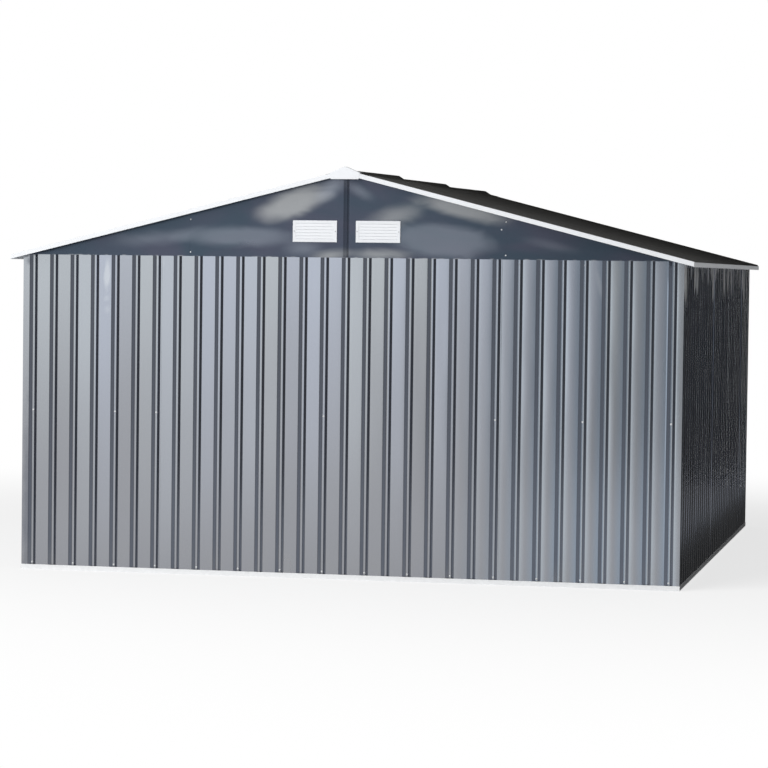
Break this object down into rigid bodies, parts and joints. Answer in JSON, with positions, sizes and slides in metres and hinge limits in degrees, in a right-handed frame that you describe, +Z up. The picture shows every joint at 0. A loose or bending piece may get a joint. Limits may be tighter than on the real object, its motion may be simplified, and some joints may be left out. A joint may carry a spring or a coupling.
{
  "type": "metal storage shed",
  "caption": "Ribbed steel garden storage shed with a low two-slope roof, louvred gable vents, white edge trims and closed sliding doors at the far end.",
  "frame": {"origin": "on the ground at the middle of the shed's plan", "axes": "+X along the gable walls, to the right seen from the plain gable end; +Y from the plain gable end to the door end, along the ridge; +Z up"},
  "size_m": [3.3878, 3.8648, 2.009],
  "materials": {
    "wall_paint": "glossy slate-grey paint on ribbed steel",
    "gable_paint": "glossy slate-grey paint on flat steel",
    "roof_paint": "glossy dark grey paint on ribbed steel",
    "door_paint": "glossy slate-grey paint on ribbed steel",
    "white_trim": "satin white paint",
    "white_vent": "white moulded plastic",
    "galvanised": "zinc-coated steel"
  },
  "bodies": {
    "root": {"base_rail_rear": "galvanised", "base_rail_front": "galvanised", "base_rail_left": "galvanised", "base_rail_right": "galvanised", "corner_post_rear_left": "galvanised", "corner_post_rear_right": "galvanised", "corner_post_front_left": "galvanised", "corner_post_front_right": "galvanised", "rear_wall": "wall_paint", "left_wall": "wall_paint", "right_wall": "wall_paint", "front_wall_left": "wall_paint", "front_wall_right": "wall_paint", "mid_rail_rear": "galvanised", "mid_rail_left": "galvanised", "mid_rail_right": "galvanised", "top_rail_rear": "galvanised", "top_rail_front": "galvanised", "top_rail_left": "galvanised", "top_rail_right": "galvanised", "door_left": "door_paint", "door_right": "door_paint", "door_track": "galvanised", "rear_gable_left": "gable_paint", "rear_gable_right": "gable_paint", "front_gable_left": "gable_paint", "front_gable_right": "gable_paint", "rear_vent_left": "white_vent", "rear_vent_right": "white_vent", "front_vent_left": "white_vent", "front_vent_right": "white_vent", "ridge_beam": "galvanised", "purlin_left": "galvanised", "purlin_right": "galvanised", "roof_left": "roof_paint", "roof_right": "roof_paint", "ridge_cap": "roof_paint", "rear_barge_left": "white_trim", "rear_barge_right": "white_trim", "front_barge_left": "white_trim", "front_barge_right": "white_trim", "rear_peak_cap": "white_trim", "front_peak_cap": "white_trim", "eave_trim_left": "white_trim", "eave_trim_right": "white_trim"}
  },
  "joints": []
}
